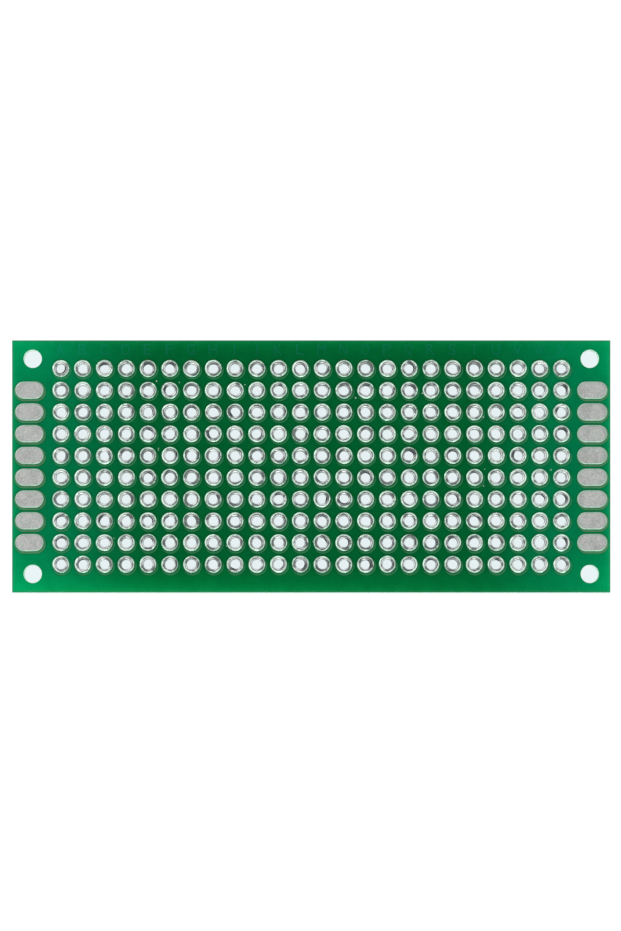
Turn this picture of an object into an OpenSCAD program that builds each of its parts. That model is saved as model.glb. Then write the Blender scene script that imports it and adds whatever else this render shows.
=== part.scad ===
// Double-sided prototype board: glass-epoxy laminate with a grid of plated-through lead holes on
// every crossing of a 2.54 mm grid, a row of edge contacts at each end and four mounting holes.
// The board lies flat: the rows of holes run along X, row 1 is on the +Y side, column A is at -X,
// and z = 0 is where the lowest points of the tinned pads touch the table.

/* [Hole grid] */
// Distance between neighbouring lead holes, along a row and along a column
pitch = 2.54; // [2.45:0.01:3]
// Lead holes in a row, lettered from A
columns = 24; // [4:1:24]
// Lead holes in a column
rows = 10; // [4:1:20]
// From the centre of the last hole in a row to the end of the board
end_margin = 5.69; // [5.4:0.01:10]
// From the centre of the last hole in a column to the long edge of the board
side_margin = 3.27; // [3:0.01:10]

/* [Laminate] */
// Thickness of the bare glass-epoxy laminate
laminate_t = 1.5; // [0.8:0.1:3.2]
// Diameter of the drill for the lead holes, before plating
drill_d = 1.25; // [0.8:0.01:1.5]

/* [Mounting holes] */
// Diameter of the four unplated mounting holes
mount_d = 2.1; // [1.6:0.1:2.4]
// From a mounting hole's centre to the end of the board
mount_end_inset = 2.4; // [1.6:0.05:3]
// From a mounting hole's centre to the long edge of the board
mount_side_inset = 2.15; // [1.6:0.05:2.4]

/* [Copper] */
// Thickness of the copper foil on each face
foil_t = 0.035; // [0.018:0.001:0.045]
// Thickness of the copper plated onto the wall of a lead hole
plating_t = 0.025; // [0.018:0.001:0.05]
// Copper that runs on under the solder mask all round an opening
land_overlap = 0.15; // [0.14:0.01:0.18]
// How far the copper pattern lies off the mask pattern, towards +X
copper_shift_x = 0.06; // [-0.08:0.01:0.08]
// How far the copper pattern lies off the mask pattern, towards +Y
copper_shift_y = -0.12; // [-0.12:0.01:0.12]

/* [Solder mask] */
// Thickness of the green solder mask over bare laminate
mask_t = 0.05; // [0.048:0.001:0.08]
// Diameter of the round opening in the mask over a lead hole
opening_d = 2.04; // [1.6:0.01:2.1]
// How far the cured mask stays back from the wall of a mounting hole
mask_pullback = 0.02; // [0:0.01:0.2]

/* [Edge contacts] */
// Width of a contact's opening in the mask, along the end of the board
contact_w = 2; // [1.2:0.05:2.1]
// Length of a left contact's opening, along the rows
contact_len_left = 3.3; // [2.2:0.05:3.5]
// Length of a right contact's opening, along the rows
contact_len_right = 3.5; // [2.2:0.05:3.6]
// From the end of the board to the outer end of a contact's opening
contact_inset = 0.36; // [0.32:0.01:0.6]

/* [Tin] */
// Thickness of the tin on the wall of a lead hole
tin_wall_t = 0.025; // [0.01:0.001:0.05]
// How far the tin stands proud of the solder mask, at its crest
tin_proud = 0.035; // [0.02:0.001:0.06]
// Radius at which the tin round a hole is thickest
crest_r = 0.76; // [0.7:0.01:0.78]
// Width of the sloping edge of the tin on an edge contact
film_edge = 0.12; // [0.04:0.01:0.2]
// Straight steps that draw each quarter of the tin's rounded section
round_steps = 4; // [2:1:8]

/* [Hidden] */
$fn = 48;
TOP = 1;
BOTTOM = -1;
LEFT = -1;
RIGHT = 1;
CUT = 1;
LAMINATE_TINT = "darkkhaki";
MASK_TINT = [0, 0.44, 0.22];
COPPER_TINT = "peru";
TIN_TINT = "silver";

board_len = (columns - 1) * pitch + 2 * end_margin;
board_wid = (rows - 1) * pitch + 2 * side_margin;
board_mid_z = tin_proud + mask_t + laminate_t / 2;

// Heights above the middle plane of the laminate, the same on both faces
laminate_h = laminate_t / 2;
foil_h = laminate_h + foil_t;
mask_h = laminate_h + mask_t;
crest_h = mask_h + tin_proud;

plated_r = drill_d / 2 - plating_t;
finished_r = plated_r - tin_wall_t;
opening_r = opening_d / 2;
land_r = opening_r + land_overlap;

mount_x = board_len / 2 - mount_end_inset;
mount_y = board_wid / 2 - mount_side_inset;

function column_x(c) = (c - (columns - 1) / 2) * pitch;
function row_y(r) = ((rows - 1) / 2 - r) * pitch;
function letter(c) = chr(97 + c);
function contact_len(end) = end == LEFT ? contact_len_left : contact_len_right;
function contact_x(end) = end * (board_len / 2 - contact_inset - contact_len(end) / 2);

// Repeats its children at the holes of one column
module down_column(c) {
    for (r = [0:rows - 1]) translate([column_x(c), row_y(r)]) children();
}

// Repeats its children at every lead hole
module at_lead_holes() {
    for (c = [0:columns - 1]) down_column(c) children();
}

module at_mounting_holes() {
    for (x = [-mount_x, mount_x], y = [-mount_y, mount_y]) translate([x, y]) children();
}

// Repeats its children at one end's contacts: one beside each row, but none beside the first and last
module at_contacts(end) {
    for (r = [1:rows - 2]) translate([contact_x(end), row_y(r)]) children();
}

// Moves copper off the mask's pattern, as an etched layer lies off a printed one
module copper_shift() {
    translate([copper_shift_x, copper_shift_y]) children();
}

// Turns a layer that was built upwards from the middle plane over to the face that it belongs to
module on_face(face) {
    translate([0, 0, board_mid_z]) mirror([0, 0, face == TOP ? 0 : 1]) children();
}

module board_outline() {
    square([board_len, board_wid], center = true);
}

// A straight strip with a full round at each end
module obround(len, wid) {
    square([len - wid, wid], center = true);
    for (x = [-1, 1]) translate([x * (len - wid) / 2, 0]) circle(d = wid);
}

// Outline of the mask's opening over one contact, or of the copper that runs on under the mask
module contact_outline(end, overlap = 0) {
    obround(contact_len(end) + 2 * overlap, contact_w + 2 * overlap);
}

// Glass-epoxy core: a flat sheet, drilled through for every lead and every mounting screw
module laminate() {
    color(LAMINATE_TINT) translate([0, 0, board_mid_z]) linear_extrude(laminate_t, center = true)
        difference() {
            board_outline();
            at_lead_holes() circle(d = drill_d);
            at_mounting_holes() circle(d = mount_d);
        }
}

// Solder mask of one face: it lies on the laminate, climbs over the rim of each copper land, and
// is open over the middle of each land and contact
module solder_mask(face) {
    color(MASK_TINT) on_face(face) difference() {
        translate([0, 0, laminate_h]) linear_extrude(mask_t) difference() {
            board_outline();
            at_lead_holes() circle(r = opening_r);
            for (end = [LEFT, RIGHT]) at_contacts(end) contact_outline(end);
            at_mounting_holes() circle(r = mount_d / 2 + mask_pullback);
        }
        translate([0, 0, laminate_h - CUT]) linear_extrude(foil_t + CUT) copper_shift() {
            at_lead_holes() circle(r = land_r);
            for (end = [LEFT, RIGHT]) at_contacts(end) contact_outline(end, land_overlap);
        }
    }
}

// Copper of one lead hole: a plated barrel through the laminate with a land on each face. The
// barrel is true to the drilled hole, and the lands are true to the shifted copper pattern
module plated_hole() {
    difference() {
        union() {
            cylinder(d = drill_d, h = 2 * foil_h, center = true);
            for (face = [TOP, BOTTOM]) copper_shift()
                translate([0, 0, face * (laminate_h + foil_t / 2)])
                    cylinder(r = land_r, h = foil_t, center = true);
        }
        cylinder(r = plated_r, h = 2 * foil_h + CUT, center = true);
    }
}

module plated_holes(c) {
    color(COPPER_TINT) translate([0, 0, board_mid_z]) down_column(c) plated_hole();
}

// Section of the tin on one face, from the foot at the mask to the finished hole, as [radius,
// height]: a quarter ellipse up from the mask's edge to the crest, then one down to the level of
// the land's face, so that the film stays whole over the copper's corner
function tin_section() = concat(
    [[opening_r, foil_h]],
    [for (i = [0:round_steps]) let (a = 90 * i / round_steps)
        [crest_r + (opening_r - crest_r) * cos(a), mask_h + tin_proud * sin(a)]],
    [for (i = [1:round_steps]) let (a = 90 * i / round_steps)
        [crest_r - (crest_r - finished_r) * sin(a), foil_h + (crest_h - foil_h) * cos(a)]]
);

// Tin of one lead hole: it lines the barrel and swells into a low ring over the land on each face
module tin_ring() {
    upper = tin_section();
    n = len(upper);
    lower = [for (i = [1:n]) [upper[n - i][0], -upper[n - i][1]]];
    rotate_extrude() polygon(concat(
        [[plated_r, -foil_h], [plated_r, foil_h]],
        upper,
        lower
    ));
}

module tin_rings(c) {
    color(TIN_TINT) translate([0, 0, board_mid_z]) down_column(c) tin_ring();
}

// Copper of one end's contacts on one face: flat pads without holes, wider than their openings
module contact_foil(end, face) {
    color(COPPER_TINT) on_face(face) translate([0, 0, laminate_h]) linear_extrude(foil_t)
        copper_shift() at_contacts(end) contact_outline(end, land_overlap);
}

// A contact's tin above the mask: a strip with full round ends, whose edge slopes in all round
module sloped_strip(len, wid, height, slope) {
    rotate([90, 0, 90]) linear_extrude(len - wid, center = true) polygon([
        [-wid / 2, 0],
        [wid / 2, 0],
        [wid / 2 - slope, height],
        [slope - wid / 2, height]
    ]);
    for (x = [-1, 1]) translate([x * (len - wid) / 2, 0])
        cylinder(r1 = wid / 2, r2 = wid / 2 - slope, h = height);
}

// Tin of one end's contacts on one face: it fills each opening and stands a little proud of it
module contact_tin(end, face) {
    color(TIN_TINT) on_face(face) at_contacts(end) {
        translate([0, 0, foil_h]) linear_extrude(mask_h - foil_h) contact_outline(end);
        translate([0, 0, mask_h]) sloped_strip(contact_len(end), contact_w, tin_proud, film_edge);
    }
}

laminate();
solder_mask(TOP);  // solder_mask_top
solder_mask(BOTTOM);  // solder_mask_bottom
contact_foil(LEFT, TOP);  // contact_foil_left_top
contact_foil(LEFT, BOTTOM);  // contact_foil_left_bottom
contact_foil(RIGHT, TOP);  // contact_foil_right_top
contact_foil(RIGHT, BOTTOM);  // contact_foil_right_bottom
contact_tin(LEFT, TOP);  // contact_tin_left_top
contact_tin(LEFT, BOTTOM);  // contact_tin_left_bottom
contact_tin(RIGHT, TOP);  // contact_tin_right_top
contact_tin(RIGHT, BOTTOM);  // contact_tin_right_bottom
for (c = [0:columns - 1]) {
    plated_holes(c);
    tin_rings(c);
}
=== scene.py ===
# %% [markdown]
# # A prototype board, dressed in its real finishes
# The CAD model gives a drilled glass-epoxy board, its copper, its green mask and its tin. On the
# real board those are four layers made one after another, so this lesson dresses them in the same
# order. Everything is in metres in the CAD's own frame, so nothing needs fitting.

import bpy
import numpy as np
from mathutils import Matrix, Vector


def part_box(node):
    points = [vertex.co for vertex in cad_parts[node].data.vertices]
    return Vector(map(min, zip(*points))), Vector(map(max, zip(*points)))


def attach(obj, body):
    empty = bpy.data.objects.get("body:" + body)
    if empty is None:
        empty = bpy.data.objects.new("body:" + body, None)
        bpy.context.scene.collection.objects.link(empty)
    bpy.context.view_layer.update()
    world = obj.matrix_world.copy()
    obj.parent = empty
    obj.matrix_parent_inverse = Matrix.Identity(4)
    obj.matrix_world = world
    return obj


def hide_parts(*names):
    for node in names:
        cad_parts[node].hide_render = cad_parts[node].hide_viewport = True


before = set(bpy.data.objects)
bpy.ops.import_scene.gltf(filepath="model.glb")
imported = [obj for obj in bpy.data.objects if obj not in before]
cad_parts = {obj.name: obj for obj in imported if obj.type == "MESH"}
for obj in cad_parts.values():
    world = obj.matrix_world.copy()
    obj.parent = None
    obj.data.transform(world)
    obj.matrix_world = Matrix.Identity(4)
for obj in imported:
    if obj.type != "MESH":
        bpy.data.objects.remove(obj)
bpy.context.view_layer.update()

MM = 0.001

# %% [markdown]
# ## Where the holes are
# The real board is drilled on a grid, and each column of ten holes is one CAD node. Each column's
# box is as wide as an opening in the mask, so the boxes give the places of all the holes, and only
# the letters and the number of rows are typed.

# %% Read the grid from the CAD
letters = "ABCDEFGHIJKLMNOPQRSTUVWX"
rows = 10
boxes = [[np.array(corner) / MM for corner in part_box(f"tin_rings_{c.lower()}")] for c in letters]
opening_r = (boxes[0][1][0] - boxes[0][0][0]) / 2
columns_x = np.array([(lo[0] + hi[0]) / 2 for lo, hi in boxes])
rows_y = np.linspace(boxes[0][1][1] - opening_r, boxes[0][0][1] + opening_r, rows)
pitch = columns_x[1] - columns_x[0]
grid_half_x = len(letters) / 2 * pitch
grid_half_y = rows / 2 * pitch
board_lo, board_hi = (np.array(corner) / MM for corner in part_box("laminate"))
mask_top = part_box("solder_mask_top")[1][2] / MM
crest_top = boxes[0][1][2]
print(f"{len(letters)} by {rows} holes, {pitch:.2f} mm apart, openings {2 * opening_r:.2f} mm")

# %% [markdown]
# ## Small tools
# A paint or a metal is described by the colour that a screen shows, but Cycles counts light, so one
# function turns a hex value into linear light. The next adds a node to a material with its settings
# and its links, which keeps each recipe below short enough to read. The others start a material,
# give a point's place on the board in millimetres, and make a piece from points in millimetres.

# %% Colours, nodes and pieces
def linear(hex_colour):
    """Linear RGBA of an sRGB hex value: a channel up to 0.04045 is divided by 12.92, and one above
    it is ((c + 0.055) / 1.055) to the power 2.4."""
    c = np.array([int(hex_colour[i:i + 2], 16) for i in (1, 3, 5)]) / 255
    light = np.where(c <= 0.04045, c / 12.92, ((c + 0.055) / 1.055) ** 2.4)
    return (*light.tolist(), 1.0)


def add(tree, kind, settings=None, inputs=None):
    """Adds a node, sets its own properties, and fills its inputs with values or links them to the
    sockets given. The stops of a colour ramp are (position, hex or grey) pairs. Returns the node's
    first output that is switched on."""
    node = tree.nodes.new(kind)
    for name, value in (settings or {}).items():
        if name != "stops":
            setattr(node, name, value)
            continue
        while len(node.color_ramp.elements) < len(value):
            node.color_ramp.elements.new(1.0)
        for element, (position, colour) in zip(node.color_ramp.elements, value):
            element.position = position
            element.color = linear(colour) if isinstance(colour, str) else (colour, colour, colour, 1)
    for name, value in (inputs or {}).items():
        if isinstance(value, bpy.types.NodeSocket):
            tree.links.new(value, node.inputs[name])
        else:
            node.inputs[name].default_value = value
    return next((out for out in node.outputs if out.enabled), None)


def material(name):
    """A new material with an empty node tree."""
    made = bpy.data.materials.new(name)
    made.use_nodes = True
    made.node_tree.nodes.clear()
    return made, made.node_tree


def object_mm(tree):
    """The Object coordinates in mm. They are the CAD's own, as every piece stays at the origin."""
    place = add(tree, "ShaderNodeTexCoord").node.outputs["Object"]
    return add(tree, "ShaderNodeVectorMath", {"operation": "SCALE"}, {0: place, "Scale": 1 / MM})


def new_piece(name, points_mm, faces, finish):
    """An object at the origin with one material, from points in mm and each face's point numbers."""
    mesh = bpy.data.meshes.new(name)
    mesh.from_pydata((points_mm * MM).tolist(), [], faces)
    mesh.materials.append(finish)
    piece = bpy.data.objects.new(name, mesh)
    bpy.context.collection.objects.link(piece)
    return piece


print("mid green in linear light:", [round(v, 3) for v in linear("#035B2B")])

# %% [markdown]
# ## Glass-epoxy laminate
# The core is FR-4: plies of woven glass cloth in clear yellowish epoxy, pressed and then cut to size
# with a router. Its faces are hidden, but its cut edge and the drilled walls show the plies as fine
# pale stripes with a dry, dusty look. Stripes along Z every 0.19 mm stand for the plies, and a finer
# noise breaks them up as the cutter frays them. On a light table the glass fills with light that the
# mask tints, so it scatters light below its surface; the faint mint glow on top of that is painted, as
# an emission of the material. A wave texture of scale 1 has 20 / (2 pi), or 3.18, waves to a unit, and
# that turns a spacing in millimetres into its scale.

# %% Laminate material
WAVES_TO_A_UNIT = 3.18
PLY = 0.19
MATERIALS = {}
MATERIALS["laminate"], tree = material("FR4_glass_epoxy_laminate")
in_mm = object_mm(tree)
plies = add(tree, "ShaderNodeTexWave", {"bands_direction": "Z", "wave_profile": "SIN"},
            {"Vector": in_mm, "Scale": 1 / (PLY * WAVES_TO_A_UNIT), "Distortion": 0.6, "Detail": 2.0,
             "Detail Scale": 3.0})
fray = add(tree, "ShaderNodeTexNoise", {"noise_dimensions": "3D"},
           {"Vector": in_mm, "Scale": 9.0, "Detail": 4.0, "Roughness": 0.65})
dust = add(tree, "ShaderNodeMath", {"operation": "MULTIPLY_ADD"}, {0: fray, 1: 0.45, 2: 0.25})
shade = add(tree, "ShaderNodeMath", {"operation": "MULTIPLY_ADD"}, {0: plies, 1: 0.35, 2: dust})
glass = add(tree, "ShaderNodeValToRGB",
            {"stops": [(0.2, "#B8D6C4"), (0.55, "#CFE9DA"), (0.95, "#E8F7EF")]}, {"Fac": shade})
relief = add(tree, "ShaderNodeBump", None, {"Height": shade, "Strength": 0.5, "Distance": 0.02 * MM})
# The emission is a painted mint glow, standing in for the light table's light in the glass.
surface = add(tree, "ShaderNodeBsdfPrincipled", None,
              {"Base Color": glass, "Roughness": 0.62, "IOR": 1.55, "Normal": relief,
               "Subsurface Weight": 0.5, "Subsurface Radius": (0.9, 1.0, 0.7),
               "Subsurface Scale": 0.8 * MM, "Emission Color": linear("#AEEBCB"),
               "Emission Strength": 0.22})
add(tree, "ShaderNodeOutputMaterial", None, {"Surface": surface})
print("laminate material has", len(tree.nodes), "nodes")

# %% [markdown]
# ## Copper
# The foil is etched and sits under the mask and the tin, so only its edge could ever show. It is bare
# copper with a faint rolled grain along X and a little oxide, and its dark brown is also painted shade
# for the narrow gap where that edge shows. The noise for the grain is stretched: its scale for each
# metre is far smaller along X than across.

# %% Copper material
ROLLED_GRAIN = (400, 9000, 2000)
MATERIALS["copper"], tree = material("etched_copper_foil")
place = add(tree, "ShaderNodeTexCoord").node.outputs["Object"]
grain_place = add(tree, "ShaderNodeMapping", None, {"Vector": place, "Scale": ROLLED_GRAIN})
grain = add(tree, "ShaderNodeTexNoise", None, {"Vector": grain_place, "Scale": 1.0, "Detail": 3.0})
# A dark brown: partly oxide, partly painted shade for the gap where the copper's edge shows.
tone = add(tree, "ShaderNodeValToRGB", {"stops": [(0.3, "#74482F"), (0.7, "#946546")]}, {"Fac": grain})
dull = add(tree, "ShaderNodeMapRange", None, {"Value": grain, "To Min": 0.28, "To Max": 0.45})
surface = add(tree, "ShaderNodeBsdfPrincipled", None,
              {"Base Color": tone, "Metallic": 1.0, "Roughness": dull})
add(tree, "ShaderNodeOutputMaterial", None, {"Surface": surface})
print("copper material has", len(tree.nodes), "nodes")

# %% [markdown]
# ## Solder mask
# The green is a photo-imageable epoxy ink, flooded over both faces, cured, and opened over every pad.
# Three things give it life. It is thin, so light that enters the cut edges of the glass below makes it
# paler and bluer towards the ends, edges and corners, and that light is painted into the mask's
# colour.
# It thins over the shoulder of each copper land, where the copper warms it to olive, and since the
# copper pattern lies 0.06 mm right of the mask pattern and 0.12 mm below it, that shows as a crescent
# at the lower right. And the weave of the glass cloth prints through faintly. All three follow real
# distances, so they are worked out from Object coordinates in millimetres and need no picture.
#
# The pads come first. A round pad sits on every crossing of the grid. The eight contacts at each end
# are strips with round ends, on the same rows' spacing, and mirror each other about a line 0.05 mm
# left of the middle.

# %% Distance to the nearest pad, as nodes
CONTACTS = 8
CONTACT_R = 1.0
CONTACT_HALF = 0.70
CONTACT_MID_X = 32.84
CONTACT_OFF_X = -0.05
FAR = 9.0


def pad_distance(tree, point, shift, hole_r, contact_r):
    """Distance in mm from the edge of the nearest round pad or edge contact, negative on it.
    A round pad: the point is wrapped to the nearest grid crossing and its length less the radius is
    taken. A contact: its nearest point on a short line along X takes the crossing's place. Where the
    pattern has no such pad, FAR is added to its distance."""
    moved = add(tree, "ShaderNodeVectorMath", {"operation": "SUBTRACT"}, {0: point, 1: shift})
    cells = add(tree, "ShaderNodeVectorMath", {"operation": "MULTIPLY_ADD"},
                {0: moved, 1: (1 / pitch, 1 / pitch, 0), 2: (0.5, 0.5, 0)})
    wrapped = add(tree, "ShaderNodeVectorMath", {"operation": "WRAP"},
                  {0: cells, 1: (0.5, 0.5, 0.5), 2: (-0.5, -0.5, -0.5)})
    near = add(tree, "ShaderNodeVectorMath", {"operation": "MULTIPLY"},
               {0: wrapped, 1: (pitch, pitch, 0)})
    reach = add(tree, "ShaderNodeVectorMath", {"operation": "LENGTH"}, {0: near})
    split = add(tree, "ShaderNodeSeparateXYZ", None, {0: moved}).node.outputs
    across = add(tree, "ShaderNodeSeparateXYZ", None, {0: near}).node.outputs["Y"]
    centred = add(tree, "ShaderNodeMath", {"operation": "SUBTRACT"}, {0: split["X"], 1: CONTACT_OFF_X})
    outward = add(tree, "ShaderNodeMath", {"operation": "ABSOLUTE"}, {0: centred})
    along = add(tree, "ShaderNodeMath", {"operation": "SUBTRACT"}, {0: outward, 1: CONTACT_MID_X})
    far = add(tree, "ShaderNodeMath", {"operation": "ABSOLUTE"}, {0: along})
    past = add(tree, "ShaderNodeMath", {"operation": "SUBTRACT"}, {0: far, 1: CONTACT_HALF})
    over = add(tree, "ShaderNodeMath", {"operation": "MAXIMUM"}, {0: past, 1: 0.0})
    corner = add(tree, "ShaderNodeCombineXYZ", None, {"X": over, "Y": across})
    strip = add(tree, "ShaderNodeVectorMath", {"operation": "LENGTH"}, {0: corner})
    high = add(tree, "ShaderNodeMath", {"operation": "ABSOLUTE"}, {0: split["Y"]})
    end = add(tree, "ShaderNodeMath", {"operation": "GREATER_THAN"}, {0: outward, 1: grid_half_x})
    above_holes = add(tree, "ShaderNodeMath", {"operation": "GREATER_THAN"}, {0: high, 1: grid_half_y})
    above_strips = add(tree, "ShaderNodeMath", {"operation": "GREATER_THAN"},
                       {0: high, 1: CONTACTS / 2 * pitch})
    no_hole = add(tree, "ShaderNodeMath", {"operation": "MAXIMUM"}, {0: end, 1: above_holes})
    not_end = add(tree, "ShaderNodeMath", {"operation": "SUBTRACT"}, {0: 1.0, 1: end})
    no_strip = add(tree, "ShaderNodeMath", {"operation": "MAXIMUM"}, {0: not_end, 1: above_strips})
    hole_gap = add(tree, "ShaderNodeMath", {"operation": "SUBTRACT"}, {0: reach, 1: hole_r})
    strip_gap = add(tree, "ShaderNodeMath", {"operation": "SUBTRACT"}, {0: strip, 1: contact_r})
    hole = add(tree, "ShaderNodeMath", {"operation": "MULTIPLY_ADD"},
               {0: no_hole, 1: FAR, 2: hole_gap})
    contact = add(tree, "ShaderNodeMath", {"operation": "MULTIPLY_ADD"},
                  {0: no_strip, 1: FAR, 2: strip_gap})
    return add(tree, "ShaderNodeMath", {"operation": "MINIMUM"}, {0: hole, 1: contact})


print("pad distances are worked out on a", round(pitch, 2), "mm grid")

# %% [markdown]
# Two curves turn a distance into a share of a colour: a bell along a line, and a light that dies
# away from an edge.

# %% Lines and fading light
def line(tree, distance, middle, width, height):
    """A soft line along a distance: height times e to the power -((distance - middle) / width)^2."""
    off = add(tree, "ShaderNodeMath", {"operation": "SUBTRACT"}, {0: distance, 1: middle})
    share = add(tree, "ShaderNodeMath", {"operation": "DIVIDE"}, {0: off, 1: width})
    square = add(tree, "ShaderNodeMath", {"operation": "MULTIPLY"}, {0: share, 1: share})
    minus = add(tree, "ShaderNodeMath", {"operation": "MULTIPLY"}, {0: square, 1: -1.0})
    bell = add(tree, "ShaderNodeMath", {"operation": "EXPONENT"}, {0: minus})
    return add(tree, "ShaderNodeMath", {"operation": "MULTIPLY"}, {0: bell, 1: height})


def fade(tree, distance, depth, height):
    """Light that dies away from an edge: height times e to the power -distance / depth."""
    share = add(tree, "ShaderNodeMath", {"operation": "DIVIDE"}, {0: distance, 1: -depth})
    left = add(tree, "ShaderNodeMath", {"operation": "EXPONENT"}, {0: share})
    return add(tree, "ShaderNodeMath", {"operation": "MULTIPLY"}, {0: left, 1: height})


def paint_light_towards(tree, tone, light, shares):
    """A tone mixed towards the hex of a painted light by two shares, joined as 1 - (1 - a)(1 - b)."""
    left = [add(tree, "ShaderNodeMath", {"operation": "SUBTRACT", "use_clamp": True},
                {0: 1.0, 1: share}) for share in shares]
    dark = add(tree, "ShaderNodeMath", {"operation": "MULTIPLY"}, {0: left[0], 1: left[1]})
    return add(tree, "ShaderNodeMix", {"data_type": "RGBA"},
               {"Factor": dark, "A": linear(light), "B": tone})


print("a light 1 mm deep leaves", round(float(np.exp(-2)), 2), "of itself at 2 mm")

# %% [markdown]
# The tone of the mask is needed twice, for the mask and for the ink printed on it, so one function
# adds it to a material. It starts from the dark green of the middle, and painted light turns it
# towards a bluer green at both ends, and then towards the light green of the edges and corners.

# %% Tone of the mask over the board, with painted light
HALF_LEN = (board_hi[0] - board_lo[0]) / 2
HALF_WID = (board_hi[1] - board_lo[1]) / 2
CORNERS_ASIDE = (0.9, 0.3, 0)
FRONT_TILT = (0.025, 1, 0)


def mask_green_with_painted_light(tree, point):
    """Colour of the mask over bare glass: dark green in the middle, with painted light that makes it
    bluer towards the ends and lighter by the long edges, then by the ends and corners. The corners'
    painted light is measured from a point a little aside, since the left corners are the brighter
    ones, and the front edge's painted light reaches farther on the left. The outermost 0.1 mm is
    greyer."""
    half = (HALF_LEN, HALF_WID, 0)
    inside = add(tree, "ShaderNodeVectorMath", {"operation": "ABSOLUTE"}, {0: point})
    gaps = add(tree, "ShaderNodeVectorMath", {"operation": "SUBTRACT"}, {0: half, 1: inside})
    gap = add(tree, "ShaderNodeSeparateXYZ", None, {0: gaps}).node.outputs
    aside = add(tree, "ShaderNodeVectorMath", {"operation": "SUBTRACT"}, {0: point, 1: CORNERS_ASIDE})
    apart = add(tree, "ShaderNodeVectorMath", {"operation": "ABSOLUTE"}, {0: aside})
    short = add(tree, "ShaderNodeVectorMath", {"operation": "SUBTRACT"}, {0: half, 1: apart})
    flat = add(tree, "ShaderNodeVectorMath", {"operation": "MULTIPLY"}, {0: short, 1: (1, 1, 0)})
    to_corner = add(tree, "ShaderNodeVectorMath", {"operation": "LENGTH"}, {0: flat})
    up = add(tree, "ShaderNodeVectorMath", {"operation": "DOT_PRODUCT"}, {0: point, 1: (0, 1, 0)})
    to_back = add(tree, "ShaderNodeMath", {"operation": "SUBTRACT"}, {0: HALF_WID, 1: up})
    tilt = add(tree, "ShaderNodeVectorMath", {"operation": "DOT_PRODUCT"}, {0: point, 1: FRONT_TILT})
    to_front = add(tree, "ShaderNodeMath", {"operation": "ADD"}, {0: HALF_WID, 1: tilt})
    # Painted light: the green turns bluer towards both ends.
    to_end = add(tree, "ShaderNodeMapRange", {"interpolation_type": "SMOOTHSTEP"},
                 {"Value": gap["X"], "From Min": 4.0, "From Max": 17.0, "To Min": 1.0, "To Max": 0.0})
    tone = add(tree, "ShaderNodeMix", {"data_type": "RGBA"},
               {"Factor": to_end, "A": linear("#005629"), "B": linear("#006A40")})
    # Painted light along the long edges, then from the ends and round the corners.
    tone = paint_light_towards(tree, tone, "#00A856",
                  [fade(tree, to_back, depth=0.7, height=0.29),
                   fade(tree, to_front, depth=1.3, height=0.36)])
    tone = paint_light_towards(tree, tone, "#00A664",
                  [fade(tree, gap["X"], depth=0.45, height=0.62),
                   fade(tree, to_corner, depth=3.6, height=0.66)])
    to_edge = add(tree, "ShaderNodeMath", {"operation": "MINIMUM"}, {0: gap["X"], 1: gap["Y"]})
    # The outermost 0.1 mm is mixed towards a greyer teal.
    greyer_rim = fade(tree, to_edge, depth=0.12, height=0.65)
    return add(tree, "ShaderNodeMix", {"data_type": "RGBA"},
               {"Factor": greyer_rim, "A": tone, "B": linear("#2F6B52")})


print("half sizes of the board in mm:", round(HALF_LEN, 2), round(HALF_WID, 2))

# %% [markdown]
# Over that tone lie a painted shade, a dark line where the mask steps down beside the copper, and the
# olive of the mask on the copper itself, strongest along the copper's edge. The olive shows where the
# covered strip of copper is widest. Beside the contacts it is browner and shows faintly all the way
# round.

# %% Olive over the copper
COPPER_SHIFT = (0.06, -0.12, 0)
COPPER_MARGIN = 0.15


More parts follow.
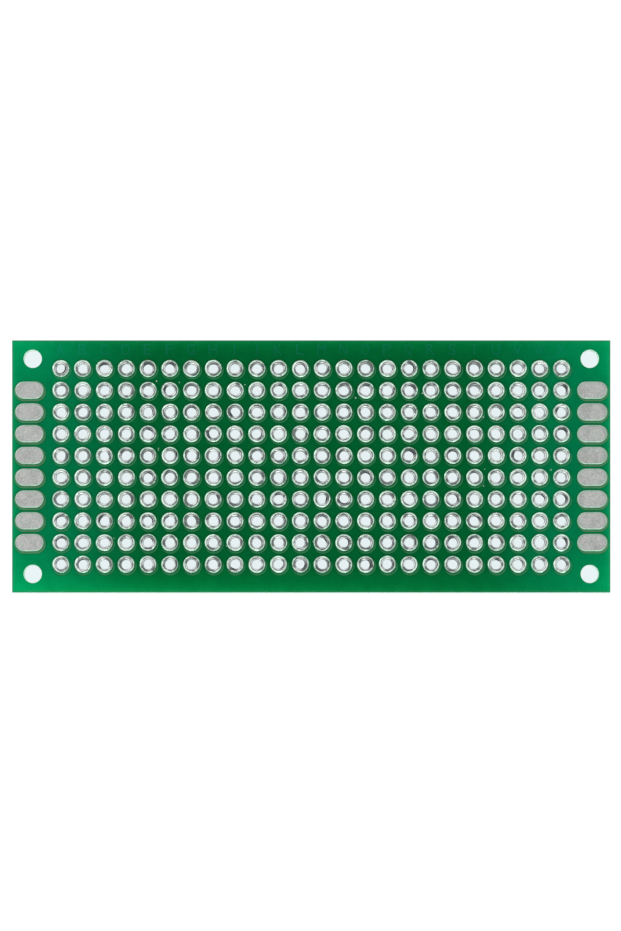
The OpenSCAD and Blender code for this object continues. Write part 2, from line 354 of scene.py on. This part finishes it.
def over_copper(tree, point, tone):
    """The mask's tone with the copper below it and the painted shade at its step, and the distance in
    mm from the copper's edge, which is negative on the copper. The olive's share is shoulder, 1 on the
    copper, times side, which grows with the width of the covered strip, times thin, which grows
    towards the copper's edge."""
    opening = pad_distance(tree, point, (0, 0, 0), opening_r, CONTACT_R)
    copper = pad_distance(tree, point, COPPER_SHIFT, opening_r + COPPER_MARGIN,
                          CONTACT_R + COPPER_MARGIN)
    # Painted shade: a dark line along the mask's step beside the copper.
    painted_step_shade = line(tree, copper, middle=0.06, width=0.07, height=0.26)
    darker = add(tree, "ShaderNodeMix", {"data_type": "RGBA"},
                 {"Factor": painted_step_shade, "A": tone, "B": linear("#012A12")})
    away = add(tree, "ShaderNodeMath", {"operation": "SUBTRACT"}, {0: opening, 1: copper})
    side = add(tree, "ShaderNodeMapRange", {"interpolation_type": "SMOOTHSTEP"},
               {"Value": away, "From Min": 0.14, "From Max": 0.27, "To Min": 0.0, "To Max": 0.85})
    shoulder = add(tree, "ShaderNodeMapRange", {"interpolation_type": "SMOOTHSTEP"},
                   {"Value": copper, "From Min": -0.03, "From Max": 0.04,
                    "To Min": 1.0, "To Max": 0.0})
    thin = add(tree, "ShaderNodeMapRange", {"interpolation_type": "SMOOTHSTEP"},
               {"Value": copper, "From Min": -0.17, "From Max": -0.06, "To Min": 0.35, "To Max": 0.9})
    along = add(tree, "ShaderNodeVectorMath", {"operation": "DOT_PRODUCT"}, {0: point, 1: (1, 0, 0)})
    outward = add(tree, "ShaderNodeMath", {"operation": "ABSOLUTE"}, {0: along})
    at_contacts = add(tree, "ShaderNodeMath", {"operation": "GREATER_THAN"},
                      {0: outward, 1: grid_half_x})
    beside = add(tree, "ShaderNodeMath", {"operation": "MULTIPLY"}, {0: at_contacts, 1: 0.45})
    side = add(tree, "ShaderNodeMath", {"operation": "MAXIMUM"}, {0: side, 1: beside})
    crescent = add(tree, "ShaderNodeMath", {"operation": "MULTIPLY"}, {0: shoulder, 1: side})
    crescent = add(tree, "ShaderNodeMath", {"operation": "MULTIPLY"}, {0: crescent, 1: thin})
    olive = add(tree, "ShaderNodeMix", {"data_type": "RGBA"},
                {"Factor": at_contacts, "A": linear("#387450"), "B": linear("#5E7A5A")})
    warm = add(tree, "ShaderNodeMix", {"data_type": "RGBA"},
               {"Factor": crescent, "A": darker, "B": olive})
    return warm, copper


print("copper is", COPPER_MARGIN, "mm wider all round than the openings, and", COPPER_SHIFT[:2], "off")

# %% [markdown]
# The weave of the cloth, about 0.4 mm from thread to thread and laid a little askew, and a soft cloud
# make the green up to a tenth lighter or darker. The step at the copper and the weave are also
# relief. The ink is cured to a soft satin, and its faint sheen is green, as the printed legend's is.

# %% Solder mask material
THREAD = 0.42
ASKEW = 0.03
SHEEN = {"Specular IOR Level": 0.05, "Specular Tint": linear("#A0FFD0")}
MATERIALS["mask"], tree = material("green_solder_mask")
in_mm = object_mm(tree)
warm, copper = over_copper(tree, in_mm, mask_green_with_painted_light(tree, in_mm))
turn = add(tree, "ShaderNodeVectorRotate", {"rotation_type": "Z_AXIS"},
           {"Vector": in_mm, "Angle": ASKEW})
threads = [add(tree, "ShaderNodeTexWave", {"bands_direction": way, "wave_profile": "SIN"},
               {"Vector": turn, "Scale": 1 / (THREAD * WAVES_TO_A_UNIT), "Distortion": 1.2,
                "Detail": 2.0, "Detail Scale": 0.8}) for way in ("X", "Y")]
weave = add(tree, "ShaderNodeMath", {"operation": "MULTIPLY"}, {0: threads[0], 1: threads[1]})
cloud = add(tree, "ShaderNodeTexNoise", None,
            {"Vector": in_mm, "Scale": 0.7, "Detail": 5.0, "Roughness": 0.6})
mottle = add(tree, "ShaderNodeMath", {"operation": "MULTIPLY_ADD"}, {0: weave, 1: 0.16, 2: cloud})
level = add(tree, "ShaderNodeMapRange", None,
            {"Value": mottle, "From Min": 0.3, "From Max": 0.8, "To Min": 0.90, "To Max": 1.10})
colour = add(tree, "ShaderNodeVectorMath", {"operation": "SCALE"}, {0: warm, "Scale": level})
step = add(tree, "ShaderNodeMapRange", {"interpolation_type": "SMOOTHSTEP"},
           {"Value": copper, "From Min": -0.1, "From Max": 0.12, "To Min": 1.0, "To Max": 0.0})
height = add(tree, "ShaderNodeMath", {"operation": "MULTIPLY_ADD"}, {0: weave, 1: 0.12, 2: step})
relief = add(tree, "ShaderNodeBump", None, {"Height": height, "Strength": 0.6, "Distance": 0.02 * MM})
satin = add(tree, "ShaderNodeMapRange", None,
            {"Value": cloud, "From Min": 0.3, "From Max": 0.7, "To Min": 0.22, "To Max": 0.34})
surface = add(tree, "ShaderNodeBsdfPrincipled", None,
              {"Base Color": colour, "Roughness": satin, "IOR": 1.5, "Normal": relief, **SHEEN})
add(tree, "ShaderNodeOutputMaterial", None, {"Surface": surface})
print("mask material has", len(tree.nodes), "nodes")

# %% [markdown]
# ## Hot-air-levelled tin
# The pads are dipped in molten solder, and hot air blows off the excess. What stays is a thin bright
# film that froze as it flowed, so it is smooth but never flat: soft dents about 0.4 mm wide, with
# patches where it froze dull. On the wide edge contacts the air leaves an even, finely grained film
# that looks grey and matt. Down in the holes the tin keeps the skin of its oxide, pale in some
# places and grey in others.
#
# From straight above, the steep inner slope of a ring mirrors the dark round the camera, and that
# reflection is painted: a dark line runs round each hole in the tin's colour. It strays in and out, is
# strong in some places and weak in others, and is weaker on the outer columns, counted from 1.5 mm
# left of the middle. Small painted dark flecks break the slope up, and the side to which the solder
# ran
# is dark too, as painted shade: each ring's mesh says where that is, in an attribute named ran.

# %% Where a ring is painted dark
WANDER = 0.65
STRAY = WANDER / 2
DARK_MIDDLE_X = -1.5


def painted_dark_share(tree, point, edge, wander, sweep, hole):
    """How dark a ring is painted, 0 to 1: the strongest of the dark line and the flecks, a painted
    reflection of the dark round the camera, and the run, painted shade. edge is the distance from the
    opening's edge, wander is that distance plus WANDER times a noise round 0.5, sweep is a second
    noise, and hole is 1 on a ring and 0 on a flat film."""
    aside = add(tree, "ShaderNodeVectorMath", {"operation": "SUBTRACT"},
                {0: point, 1: (DARK_MIDDLE_X, 0, 0)})
    along = add(tree, "ShaderNodeVectorMath", {"operation": "DOT_PRODUCT"}, {0: aside, 1: (1, 0, 0)})
    outward = add(tree, "ShaderNodeMath", {"operation": "ABSOLUTE"}, {0: along})
    strong = add(tree, "ShaderNodeMapRange", {"interpolation_type": "SMOOTHSTEP"},
                 {"Value": outward, "From Min": 18.0, "From Max": 25.0, "To Min": 1.0, "To Max": 0.15})
    patchy = add(tree, "ShaderNodeMapRange", {"interpolation_type": "SMOOTHSTEP"},
                 {"Value": sweep, "From Min": 0.42, "From Max": 0.58, "To Min": 1.0, "To Max": 0.4})
    band = line(tree, wander, middle=STRAY - 0.262, width=0.050, height=hole)
    band = add(tree, "ShaderNodeMath", {"operation": "MULTIPLY"}, {0: band, 1: strong})
    band = add(tree, "ShaderNodeMath", {"operation": "MULTIPLY"}, {0: band, 1: patchy})
    fine = add(tree, "ShaderNodeTexNoise", None, {"Vector": point, "Scale": 2.8, "Detail": 1.0})
    fleck = add(tree, "ShaderNodeMapRange", {"interpolation_type": "SMOOTHSTEP"},
                {"Value": fine, "From Min": 0.56, "From Max": 0.68, "To Min": 0.0, "To Max": 0.5})
    slope = line(tree, edge, middle=-0.17, width=0.14, height=hole)
    fleck = add(tree, "ShaderNodeMath", {"operation": "MULTIPLY"}, {0: fleck, 1: slope})
    band = add(tree, "ShaderNodeMath", {"operation": "MAXIMUM"}, {0: band, 1: fleck})
    ran = add(tree, "ShaderNodeAttribute", {"attribute_name": "ran"}).node.outputs["Fac"]
    arc = add(tree, "ShaderNodeMath", {"operation": "MULTIPLY", "use_clamp": True}, {0: ran, 1: 1.3})
    return add(tree, "ShaderNodeMath", {"operation": "MAXIMUM"}, {0: band, 1: arc})


print("the noise can move the dark line by up to", STRAY, "mm in and out")

# %% [markdown]
# One recipe gives both films. The tone runs between two hexes with the grain, and at the foot of a
# pad between two greens, a painted reflection of the mask.

# %% Tin materials
def tin_material(name, metal, greens, rough, dent_mm, dent_deep, grain_mm, grain_share, hole):
    """Solder with a tone between the two hexes of metal, and of greens at its foot as a painted
    reflection of the mask, roughness between the two values of rough, and relief dent_deep mm deep, of
    dents dent_mm wide and grain grain_mm wide. With hole at 1 it has the oxide in the hole and the
    painted dark places round it."""
    made, tree = material(name)
    in_mm = object_mm(tree)
    patch = add(tree, "ShaderNodeTexNoise", None, {"Vector": in_mm, "Scale": 0.9, "Detail": 2.0})
    sweep = add(tree, "ShaderNodeTexNoise", None, {"Vector": in_mm, "Scale": 1.2, "Detail": 0.5})
    dent = add(tree, "ShaderNodeTexNoise", None,
               {"Vector": in_mm, "Scale": 1 / dent_mm, "Detail": 2.0, "Roughness": 0.5})
    grain = add(tree, "ShaderNodeTexNoise", None,
                {"Vector": in_mm, "Scale": 1 / grain_mm, "Detail": 3.0, "Roughness": 0.6})
    uneven = add(tree, "ShaderNodeMapRange", {"interpolation_type": "SMOOTHSTEP"},
                 {"Value": patch, "From Min": 0.42, "From Max": 0.62, "To Min": 0.25, "To Max": 1.0})
    mix = add(tree, "ShaderNodeMath", {"operation": "MULTIPLY_ADD"},
              {0: grain, 1: grain_share, 2: dent})
    height = add(tree, "ShaderNodeMath", {"operation": "MULTIPLY"}, {0: mix, 1: uneven})
    relief = add(tree, "ShaderNodeBump", None,
                 {"Height": height, "Strength": 1.0, "Distance": dent_deep * MM})

    edge = pad_distance(tree, in_mm, (0, 0, 0), opening_r, CONTACT_R)
    bright = add(tree, "ShaderNodeValToRGB", {"stops": [(0.32, metal[0]), (0.68, metal[1])]},
                 {"Fac": grain})
    # Painted reflection of the green mask at the pad's foot.
    green = add(tree, "ShaderNodeValToRGB", {"stops": [(0.42, greens[0]), (0.58, greens[1])]},
                {"Fac": sweep})
    foot = add(tree, "ShaderNodeMapRange", {"interpolation_type": "SMOOTHSTEP"},
               {"Value": edge, "From Min": -0.30, "From Max": -0.02, "To Min": 0.0, "To Max": 0.9})
    with_painted_foot_green = add(tree, "ShaderNodeMix", {"data_type": "RGBA"},
                 {"Factor": foot, "A": bright, "B": green})

    wander = add(tree, "ShaderNodeMath", {"operation": "MULTIPLY_ADD"}, {0: patch, 1: WANDER, 2: edge})
    inside = add(tree, "ShaderNodeMapRange", {"interpolation_type": "SMOOTHSTEP"},
                 {"Value": wander, "From Min": STRAY - 0.34, "From Max": STRAY - 0.22,
                  "To Min": hole, "To Max": 0.0})
    both = add(tree, "ShaderNodeMath", {"operation": "ADD"}, {0: sweep, 1: patch})
    pale = add(tree, "ShaderNodeMapRange", {"interpolation_type": "SMOOTHSTEP"},
               {"Value": both, "From Min": 0.88, "From Max": 1.08, "To Min": 0.0, "To Max": 1.0})
    oxide = add(tree, "ShaderNodeMix", {"data_type": "RGBA"},
                {"Factor": pale, "A": linear("#878F8B"), "B": linear("#DFE5E2")})
    dim = add(tree, "ShaderNodeMix", {"data_type": "RGBA"},
              {"Factor": inside, "A": with_painted_foot_green, "B": oxide})
    # Painted reflection and painted shade: the dark places are mixed into the tin's colour.
    dark = painted_dark_share(tree, in_mm, edge, wander, sweep, hole)
    tone = add(tree, "ShaderNodeMix", {"data_type": "RGBA"},
               {"Factor": dark, "A": dim, "B": linear("#30373A")})

    dull = add(tree, "ShaderNodeMapRange", None,
               {"Value": patch, "From Min": 0.35, "From Max": 0.65,
                "To Min": rough[0], "To Max": rough[1]})
    skin = add(tree, "ShaderNodeMath", {"operation": "MULTIPLY_ADD"}, {0: inside, 1: 0.18, 2: dull})
    surface = add(tree, "ShaderNodeBsdfPrincipled", None,
                  {"Base Color": tone, "Metallic": 1.0, "Roughness": skin, "Normal": relief})
    add(tree, "ShaderNodeOutputMaterial", None, {"Surface": surface})
    return made


MATERIALS["tin"] = tin_material(
    "hot_air_levelled_tin", metal=("#DEE5E0", "#F6FBF8"), greens=("#86B8A0", "#BEF0D6"),
    rough=(0.10, 0.26), dent_mm=0.42, dent_deep=0.032, grain_mm=0.10, grain_share=0.05, hole=1.0)
MATERIALS["tin_flat"] = tin_material(
    "levelled_tin_on_contacts", metal=("#A4B2A9", "#D3CCCE"), greens=("#98B3A4", "#A4BEAF"),
    rough=(0.42, 0.52), dent_mm=0.45, dent_deep=0.012, grain_mm=0.18, grain_share=0.7, hole=0.0)
print("tin material has", len(MATERIALS["tin"].node_tree.nodes), "nodes")

# %% [markdown]
# ## Dress the CAD nodes
# The laminate, the copper, the mask and the contacts have the right shape already, so they only get
# their finishes.

# %% Materials on the CAD nodes
def finish_of(node):
    """Which finish a CAD node takes, by its name."""
    if node.startswith("contact_tin"):
        return "tin_flat"
    if node.startswith("tin_rings"):
        return "tin"
    if node.startswith("solder_mask"):
        return "mask"
    return "laminate" if node == "laminate" else "copper"


for name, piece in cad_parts.items():
    piece.data.materials.clear()
    piece.data.materials.append(MATERIALS[finish_of(name)])
print(len(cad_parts), "CAD nodes dressed")

# %% [markdown]
# ## Tin rings
# Solder that froze in moving air is different on every pad: it runs to one side, mostly to the upper
# right, narrows the hole there by up to 0.14 mm, and never ends in a true circle. So each ring has
# its own form. Its closed profile has sixteen stations: seven from the foot at the mask over the
# crest and into the hole, seven for the other face, and two on the hidden back, down the drilled
# wall. The profile is carried round the hole in twenty steps. A boolean or a sculpt would give the
# same look with far more faces; here all 240 rings together are 76,800 faces, or some 150,000
# triangles.

# %% One face of a column's rings
STEPS = 20
ANGLES = np.linspace(0, 2 * np.pi, STEPS, endpoint=False)
WAVES = np.arange(1, 5)[:, None]
RUN_TOWARDS = 1.1
RUN_SPREAD = 1.3
LONGEST_RUN = 0.14
DARKEST_RUN = 0.10
WAVE_SIZE = 0.022
RIM_GAP = 0.01
DEEPEST_SAG = 0.010
SAG_ABOVE = 0.04
PROFILE = np.array([
    # radius, height below the crest, share of the run to one side, share of the wavy rim
    (opening_r, 0.048, 0.0, 0.0),
    (0.960, 0.037, 0.0, 1.2),
    (0.890, 0.022, 0.0, 1.0),
    (0.825, 0.008, 0.0, 0.7),
    (0.755, 0.000, 0.1, 0.6),
    (0.648, 0.011, 0.9, 0.8),
    (0.592, 0.085, 1.0, 0.9),
])


def one_face(rng, strength):
    """Radius, height and run of one face's ten rings, each an array of hole, station and step.
    Radius = the station's radius - run * bump(angle) * share + wave(angle) * share, where bump is a
    bell round the side that the solder ran to, and wave adds the cosines of 1 to 4 times the angle,
    with random phases and with sizes that fall as 1 over that number. Angles are in radians from +X.
    The stations next to the foot stay inside the opening, and the last one leaves 0.01 mm of tin on
    the drilled wall. Those less than SAG_ABOVE below the crest sag a little towards the run."""
    station_r, drop, run_share, wave_share = (PROFILE[None, :, i, None] for i in range(4))
    side = rng.normal(RUN_TOWARDS, RUN_SPREAD, (rows, 1, 1))
    off = (ANGLES - side + np.pi) % (2 * np.pi) - np.pi
    run = strength * rng.gamma(1.5, 0.040, (rows, 1, 1)).clip(0, LONGEST_RUN)
    bump = np.exp(-(off / rng.uniform(0.6, 1.5, (rows, 1, 1))) ** 2)
    phase = rng.uniform(0, 2 * np.pi, (rows, len(WAVES), 1))
    size = rng.normal(0, WAVE_SIZE, (rows, len(WAVES), 1)) / WAVES
    wave = (size * np.cos(WAVES * ANGLES + phase)).sum(1)[:, None, :]
    radius = station_r - run * bump * run_share + wave * wave_share
    radius[:, 1:3] = np.minimum(radius[:, 1:3], opening_r - RIM_GAP)
    radius[:, -1] = np.minimum(radius[:, -1], PROFILE[-1, 0])
    low = rng.uniform(0, DEEPEST_SAG, (rows, 1, 1)) * (1 + np.cos(off)) / 2
    height = crest_top - drop - low * (drop < SAG_ABOVE) + np.zeros_like(radius)
    ran = (run * bump / DARKEST_RUN).clip(0, 1) * run_share
    return radius, height, ran


print("a ring has", 2 * len(PROFILE) + 2, "stations of", STEPS, "steps")

# %% [markdown]
# The solder ran mostly on the upper face, so the lower one has three tenths of that run. The lower
# face is the upper one's profile turned over and taken in the opposite order, and the drilled wall
# closes the ring.

# %% Carry the profile round each hole
WALL_R = 0.602
WALL_END = 0.0475


def column_of_rings(x, seed):
    """Points of one column's rings, as an array of hole, station, step and axis, and with them how far
    the solder ran at each point, from 0 to 1. Point = (x + radius * cos(angle), the row's y + radius
    * sin(angle), height)."""
    rng = np.random.default_rng(seed)
    top_r, top_z, top_ran = one_face(rng, 1.0)
    under_r, under_z, under_ran = one_face(rng, 0.3)
    back = np.zeros((rows, 1, STEPS))
    radius = np.concatenate([top_r, under_r[:, ::-1], back + WALL_R, back + WALL_R], axis=1)
    height = np.concatenate([top_z, crest_top - under_z[:, ::-1], back + WALL_END,
                             back + crest_top - WALL_END], axis=1)
    ran = np.concatenate([top_ran, under_ran[:, ::-1], back, back], axis=1)
    across = x + radius * np.cos(ANGLES)
    up = rows_y[:, None, None] + radius * np.sin(ANGLES)
    return np.stack([across, up, height], axis=-1), ran


def closed_rings(name, points, ran):
    """A mesh of rings that close both ways round. Point (station, step) joins (station + 1, step),
    (station + 1, step + 1) and (station, step + 1), all counted modulo their number. The three
    faces on the hidden back are flat, and the others are shaded smooth."""
    holes, stations, steps = points.shape[:3]
    index = np.arange(holes * stations * steps).reshape(holes, stations, steps)
    down = np.roll(index, -1, axis=1)
    quads = np.stack([index, down, np.roll(down, -1, axis=2), np.roll(index, -1, axis=2)], axis=-1)
    piece = new_piece(name, points.reshape(-1, 3), quads.reshape(-1, 4).tolist(), MATERIALS["tin"])
    smooth = np.ones((holes, stations, steps), bool)
    smooth[:, 2 * len(PROFILE) - 1:] = False
    piece.data.polygons.foreach_set("use_smooth", smooth.ravel())
    piece.data.attributes.new("ran", "FLOAT", "POINT").data.foreach_set("value", ran.ravel())
    piece.data.update()
    return piece


faces_made = 0
for number, (letter, x) in enumerate(zip(letters, columns_x)):
    ring = closed_rings(f"uneven_tin_rings_{letter.lower()}", *column_of_rings(x, 100 + number))
    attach(ring, "root")
    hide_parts(f"tin_rings_{letter.lower()}")
    faces_made += len(ring.data.polygons)
print("tin rings:", faces_made, "faces for", len(letters) * rows, "holes")

# %% [markdown]
# ## Printed legend
# Column letters are printed on the mask with a thin teal ink, so faint that they only show close up.
# The ink is the mask's tone with its painted light, a little brighter and bluer, where it covers.

# %% Ink
MATERIALS["ink"], tree = material("thin_teal_legend_ink")
in_mm = object_mm(tree)
under = mask_green_with_painted_light(tree, in_mm)
speckle = add(tree, "ShaderNodeTexNoise", None, {"Vector": in_mm, "Scale": 6.0, "Detail": 3.0})
cover = add(tree, "ShaderNodeMapRange", None,
            {"Value": speckle, "From Min": 0.3, "From Max": 0.7, "To Min": 0.6, "To Max": 1.0})
teal = add(tree, "ShaderNodeVectorMath", {"operation": "MULTIPLY_ADD"},
           {0: under, 1: (1.0, 0.99, 1.15), 2: (0.003, 0.012, 0.027)})
ink = add(tree, "ShaderNodeMix", {"data_type": "RGBA"}, {"Factor": cover, "A": under, "B": teal})
surface = add(tree, "ShaderNodeBsdfPrincipled", None, {"Base Color": ink, "Roughness": 0.35, **SHEEN})
add(tree, "ShaderNodeOutputMaterial", None, {"Surface": surface})
print("ink material has", len(tree.nodes), "nodes")

# %% [markdown]
# Blender's own letters are made a mesh, scaled to 1.27 mm, thickened to a 12 micrometre film of ink
# and set above the first hole of each column, 0.06 mm to its left. The film reaches 2 micrometres
# into the mask, so no gap shows below it.

# %% Letters
LETTER_HIGH = 1.27
LETTER_WIDE = 0.97
WIDEST_STRETCH = 1.25
LETTER_OFF_X = -0.06
LETTER_Y = 13.65
INK_TOP = 0.010
INK_FOOT = -0.002


def letter_points(letter):
    """Vertices and faces of one letter, centred, 1 high and with its own width to height."""
    curve = bpy.data.curves.new("letter_curve", "FONT")
    curve.body = letter
    curve.resolution_u = 3
    curve.extrude = 0.01
    shape = bpy.data.objects.new("letter_shape", curve)
    bpy.context.collection.objects.link(shape)
    bpy.context.view_layer.update()
    made = bpy.data.meshes.new_from_object(shape)
    points = np.empty(len(made.vertices) * 3)
    made.vertices.foreach_get("co", points)
    faces = [tuple(face.vertices) for face in made.polygons]
    bpy.data.objects.remove(shape)
    bpy.data.meshes.remove(made)
    points = points.reshape(-1, 3)
    lo, hi = points.min(0), points.max(0)
    return (points - (lo + hi) / 2) / (hi[1] - lo[1]), faces


points, faces = [], []
for letter, x in zip(letters, columns_x):
    shape, sides = letter_points(letter)
    wide = min(LETTER_WIDE / np.ptp(shape[:, 0]), WIDEST_STRETCH * LETTER_HIGH)
    if letter == "I":
        wide = LETTER_HIGH
    start = sum(len(p) for p in points)
    placed = shape * (wide, LETTER_HIGH, 1) + (x + LETTER_OFF_X, LETTER_Y, 0)
    placed[:, 2] = mask_top + np.where(shape[:, 2] > 0, INK_TOP, INK_FOOT)
    points.append(placed)
    faces += [tuple(start + i for i in side) for side in sides]
legend = new_piece("legend_letters", np.concatenate(points), faces, MATERIALS["ink"])
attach(legend, "root")
print("legend:", len(legend.data.polygons), "faces")

# %% [markdown]
# ## Specks of tin
# The dip leaves a few tiny balls of solder stuck to the mask. Each is a flat dome of 18 faces between
# the pads, about 0.06 to 0.11 mm in radius and up to 28 micrometres high. The first two lie where
# the photograph shows them.

# %% Specks
SPECKS = 16
SIDES = 8
SPECK_R = (0.06, 0.11)
SPECK_HIGH = (0.015, 0.030)
SEEN_X = (-18.05, -17.85)
SEEN_Y = (9.95, 1.90)
LEVELS = np.array([
    # share of the radius, share of the height
    (1.0, -0.002),
    (0.8, 0.6),
    (0.45, 0.95),
])
rng = np.random.default_rng(41)
middle_x = rng.choice(columns_x[:-1], SPECKS) + pitch / 2 + rng.normal(0, 0.3, SPECKS)
middle_y = rng.choice(rows_y, SPECKS) + rng.uniform(-1.2, 1.2, SPECKS)
middle_x[:2] = SEEN_X
middle_y[:2] = SEEN_Y
angle = np.linspace(0, 2 * np.pi, SIDES, endpoint=False)
wide = rng.uniform(*SPECK_R, SPECKS)[:, None, None] * rng.uniform(0.85, 1.15, (SPECKS, 1, SIDES))
share = LEVELS[:, :1]
rise = LEVELS[:, 1:] * rng.uniform(*SPECK_HIGH, SPECKS)[:, None, None]
dome = np.stack([middle_x[:, None, None] + wide * share * np.cos(angle),
                 middle_y[:, None, None] + wide * share * np.sin(angle),
                 mask_top + rise + np.zeros((1, 1, SIDES))], axis=-1)
index = np.arange(dome.size // 3).reshape(dome.shape[:3])
onward = np.roll(index, -1, axis=2)
sides = np.stack([index[:, :2], onward[:, :2], onward[:, 1:], index[:, 1:]], axis=-1)
caps = index[:, 2].tolist() + index[:, 0, ::-1].tolist()
specks = new_piece("tin_specks", dome.reshape(-1, 3), sides.reshape(-1, 4).tolist() + caps,
                   MATERIALS["tin_flat"])
specks.data.polygons.foreach_set("use_smooth", np.ones(len(specks.data.polygons), bool))
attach(specks, "root")
print("specks:", SPECKS, "with", len(specks.data.polygons), "faces")

# %% [markdown]
# ## Floor, light and camera
# The board was photographed from straight above on a white light table, in a soft white tent with a
# darker opening round the camera. Flat tin mirrors that opening and looks dark, and the rounded rims
# mirror the bright tent. So the world is white with a dim spot overhead, a little to the right, and
# two large soft lamps stand for the brighter sides of the tent. The floor's paint is a dark grey that
# throws little light up at the board, and camera, glossy and transmission rays see the white of the
# light table on it. Under the board that white is a little dimmer and greener, a painted shadow, as it
# is through the holes in the photograph, and it is greenest along the foot of the board's edge, a
# painted bounce of the colour that the edge throws there.

# %% Floor
TABLE_HALF = 4000
made, tree = material("white_table")
way = add(tree, "ShaderNodeLightPath").node.outputs
direct = add(tree, "ShaderNodeMath", {"operation": "MAXIMUM"},
             {0: way["Is Camera Ray"], 1: way["Is Glossy Ray"]})
seen = add(tree, "ShaderNodeMath", {"operation": "MAXIMUM"},
           {0: direct, 1: way["Is Transmission Ray"]})
apart = add(tree, "ShaderNodeVectorMath", {"operation": "ABSOLUTE"}, {0: object_mm(tree)})
beyond = add(tree, "ShaderNodeVectorMath", {"operation": "SUBTRACT"},
             {0: apart, 1: (HALF_LEN, HALF_WID, 0)})
each_way = add(tree, "ShaderNodeSeparateXYZ", None, {0: beyond}).node.outputs
past = add(tree, "ShaderNodeMath", {"operation": "MAXIMUM"}, {0: each_way["X"], 1: each_way["Y"]})
open_table = add(tree, "ShaderNodeMapRange", {"interpolation_type": "SMOOTHSTEP"},
                 {"Value": past, "From Min": -0.02, "From Max": 0.14, "To Min": 0.0, "To Max": 1.0})
# Painted shadow under the board, and a painted green bounce along the foot of its edge.
at_edge = add(tree, "ShaderNodeMapRange", {"interpolation_type": "SMOOTHSTEP"},
              {"Value": past, "From Min": -1.1, "From Max": -0.3, "To Min": 0.0, "To Max": 1.0})
shade = add(tree, "ShaderNodeMix", {"data_type": "RGBA"},
            {"Factor": at_edge, "A": linear("#E4EEF0"), "B": linear("#B4E6D2")})
shine = add(tree, "ShaderNodeMix", {"data_type": "RGBA"},
            {"Factor": open_table, "A": shade, "B": linear("#FCFDFD")})
surface = add(tree, "ShaderNodeBsdfPrincipled", None,
              {"Base Color": linear("#464848"), "Roughness": 0.9, "Specular IOR Level": 0.1,
               "Emission Color": shine, "Emission Strength": seen})
add(tree, "ShaderNodeOutputMaterial", None, {"Surface": surface})
corners = np.array([(-1, -1, 0), (1, -1, 0), (1, 1, 0), (-1, 1, 0)]) * TABLE_HALF
table = new_piece("white_table", corners, [(0, 1, 2, 3)], made)
print("table is", 2 * TABLE_HALF * MM, "m wide")

# %% [markdown]
# The tent is read from the direction of a ray: the ramp takes the cosine of its angle from the dim
# spot's middle. The tent is bright from 50 to 20 degrees, a little dimmer beyond 60, and falls to a
# tenth at 10. Camera rays see plain white instead.

# %% World
TENT_LIGHT = 1.10
SPOT = Vector((0.065, 0.04, 1.0)).normalized()
scene = bpy.context.scene
scene.view_settings.view_transform = "Standard"
world = bpy.data.worlds.new("white_tent")
scene.world = world
world.use_nodes = True
tree = world.node_tree
tree.nodes.clear()
way = add(tree, "ShaderNodeTexCoord").node.outputs["Generated"]
towards = add(tree, "ShaderNodeVectorMath", {"operation": "DOT_PRODUCT"}, {0: way, 1: tuple(SPOT)})
tent = add(tree, "ShaderNodeValToRGB", {"stops": [(0.0, 0.55), (0.5, 0.6), (0.64, 1.0), (0.94, 1.0),
                                                  (0.965, 0.45), (0.985, 0.10)]}, {"Fac": towards})
tent = add(tree, "ShaderNodeMath", {"operation": "MULTIPLY"}, {0: tent, 1: TENT_LIGHT})
rays = add(tree, "ShaderNodeLightPath").node.outputs
level = add(tree, "ShaderNodeMix", {"data_type": "FLOAT"},
            {"Factor": rays["Is Camera Ray"], "A": tent, "B": 1.0})
back = add(tree, "ShaderNodeBackground", None, {"Color": (1, 1, 1, 1), "Strength": level})
add(tree, "ShaderNodeOutputWorld", None, {"Surface": back})
print("world made")

# %% [markdown]
# The lamps stand about half a metre away and face the board. The stronger one is in front of it, and
# the other one is at the back left.

# %% Lamps
LAMP_WIDE = 0.5
for name, where, watts in (("tent_side_near", (0.05, -0.55, 0.45), 1.5),
                           ("tent_side_left", (-0.5, 0.35, 0.5), 0.7)):
    lamp = bpy.data.lights.new(name, "AREA")
    lamp.shape = "DISK"
    lamp.size = LAMP_WIDE
    lamp.energy = watts
    holder = bpy.data.objects.new(name, lamp)
    holder.location = where
    holder.rotation_mode = "QUATERNION"
    holder.rotation_quaternion = (-Vector(where)).to_track_quat("-Z", "Y")
    bpy.context.collection.objects.link(holder)
    print(name, "gives", watts, "W")

# %% [markdown]
# The photograph has 8.571 pixels a millimetre, so its 931 rows span 108.6 mm at the board's face.
# The walls of the holes show at the top of the upper rows and hardly in the lower ones, so the lens
# looked straight down from over a point 25 mm below the board's centre, and the picture was cropped
# round the board. A vertical shift of the sensor does the same, and under a pixel more of it each way
# sets the board where the photograph has it.

# %% Camera
PX_HIGH = 931
PX_PER_MM = 8.571
FRAME_HIGH = PX_HIGH / PX_PER_MM
SENSOR = 36
CAMERA_Y = -25.0
CAMERA_Z = 480.0
NUDGE_X_PX = -0.75
NUDGE_Y_PX = 0.85
camera_data = bpy.data.cameras.new("camera")
camera = bpy.data.objects.new("camera", camera_data)
bpy.context.collection.objects.link(camera)
scene.camera = camera
camera_data.sensor_width = SENSOR
camera_data.lens = SENSOR * (CAMERA_Z - crest_top) / FRAME_HIGH
camera_data.shift_x = NUDGE_X_PX / PX_HIGH
camera_data.shift_y = -CAMERA_Y / FRAME_HIGH + NUDGE_Y_PX / PX_HIGH
camera_data.clip_start = 0.01
camera_data.clip_end = 20
camera.location = (0, CAMERA_Y * MM, CAMERA_Z * MM)
print("lens", round(camera_data.lens, 1), "mm, shift", round(camera_data.shift_y, 3))
